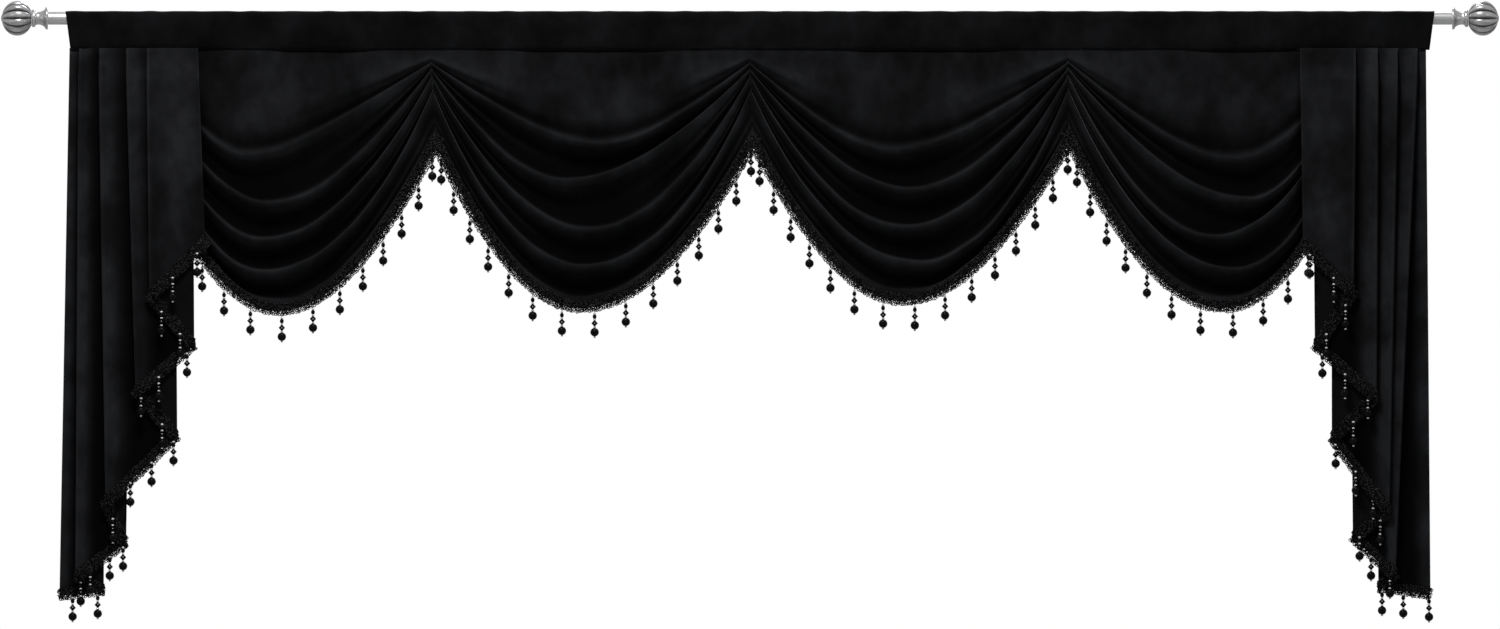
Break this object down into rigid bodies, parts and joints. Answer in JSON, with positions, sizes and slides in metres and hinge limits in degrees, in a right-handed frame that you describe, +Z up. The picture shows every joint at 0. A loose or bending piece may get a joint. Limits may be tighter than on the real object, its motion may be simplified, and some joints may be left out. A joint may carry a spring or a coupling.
{
  "type": "swag valance with curtain rod",
  "caption": "Velvet swag valance with draped swags, folded end cascades and beaded drop trim, hung by its header sleeve on a round rod with fluted ball finials.",
  "frame": {"origin": "middle of the rod's axis", "axes": "+X along the rod, to the right as the valance is seen from the room; +Y toward the wall; +Z up"},
  "size_m": [2.9932, 0.099, 1.2404],
  "materials": {
    "rod_metal": "satin",
    "finial_metal": "satin",
    "velvet": "cut pile velvet, near black",
    "beaded_trim": "black braid with black and pearl beads"
  },
  "bodies": {
    "root": {"rod": "rod_metal", "finial_neck_left": "finial_metal", "finial_neck_right": "finial_metal", "finial_ball_left": "finial_metal", "finial_ball_right": "finial_metal", "header_sleeve": "velvet", "swag_1": "velvet", "swag_2": "velvet", "swag_3": "velvet", "swag_4": "velvet", "cascade_left": "velvet", "cascade_right": "velvet", "trim_swag_1": "beaded_trim", "trim_swag_2": "beaded_trim", "trim_swag_3": "beaded_trim", "trim_swag_4": "beaded_trim", "trim_cascade_left": "beaded_trim", "trim_cascade_right": "beaded_trim"}
  },
  "joints": []
}
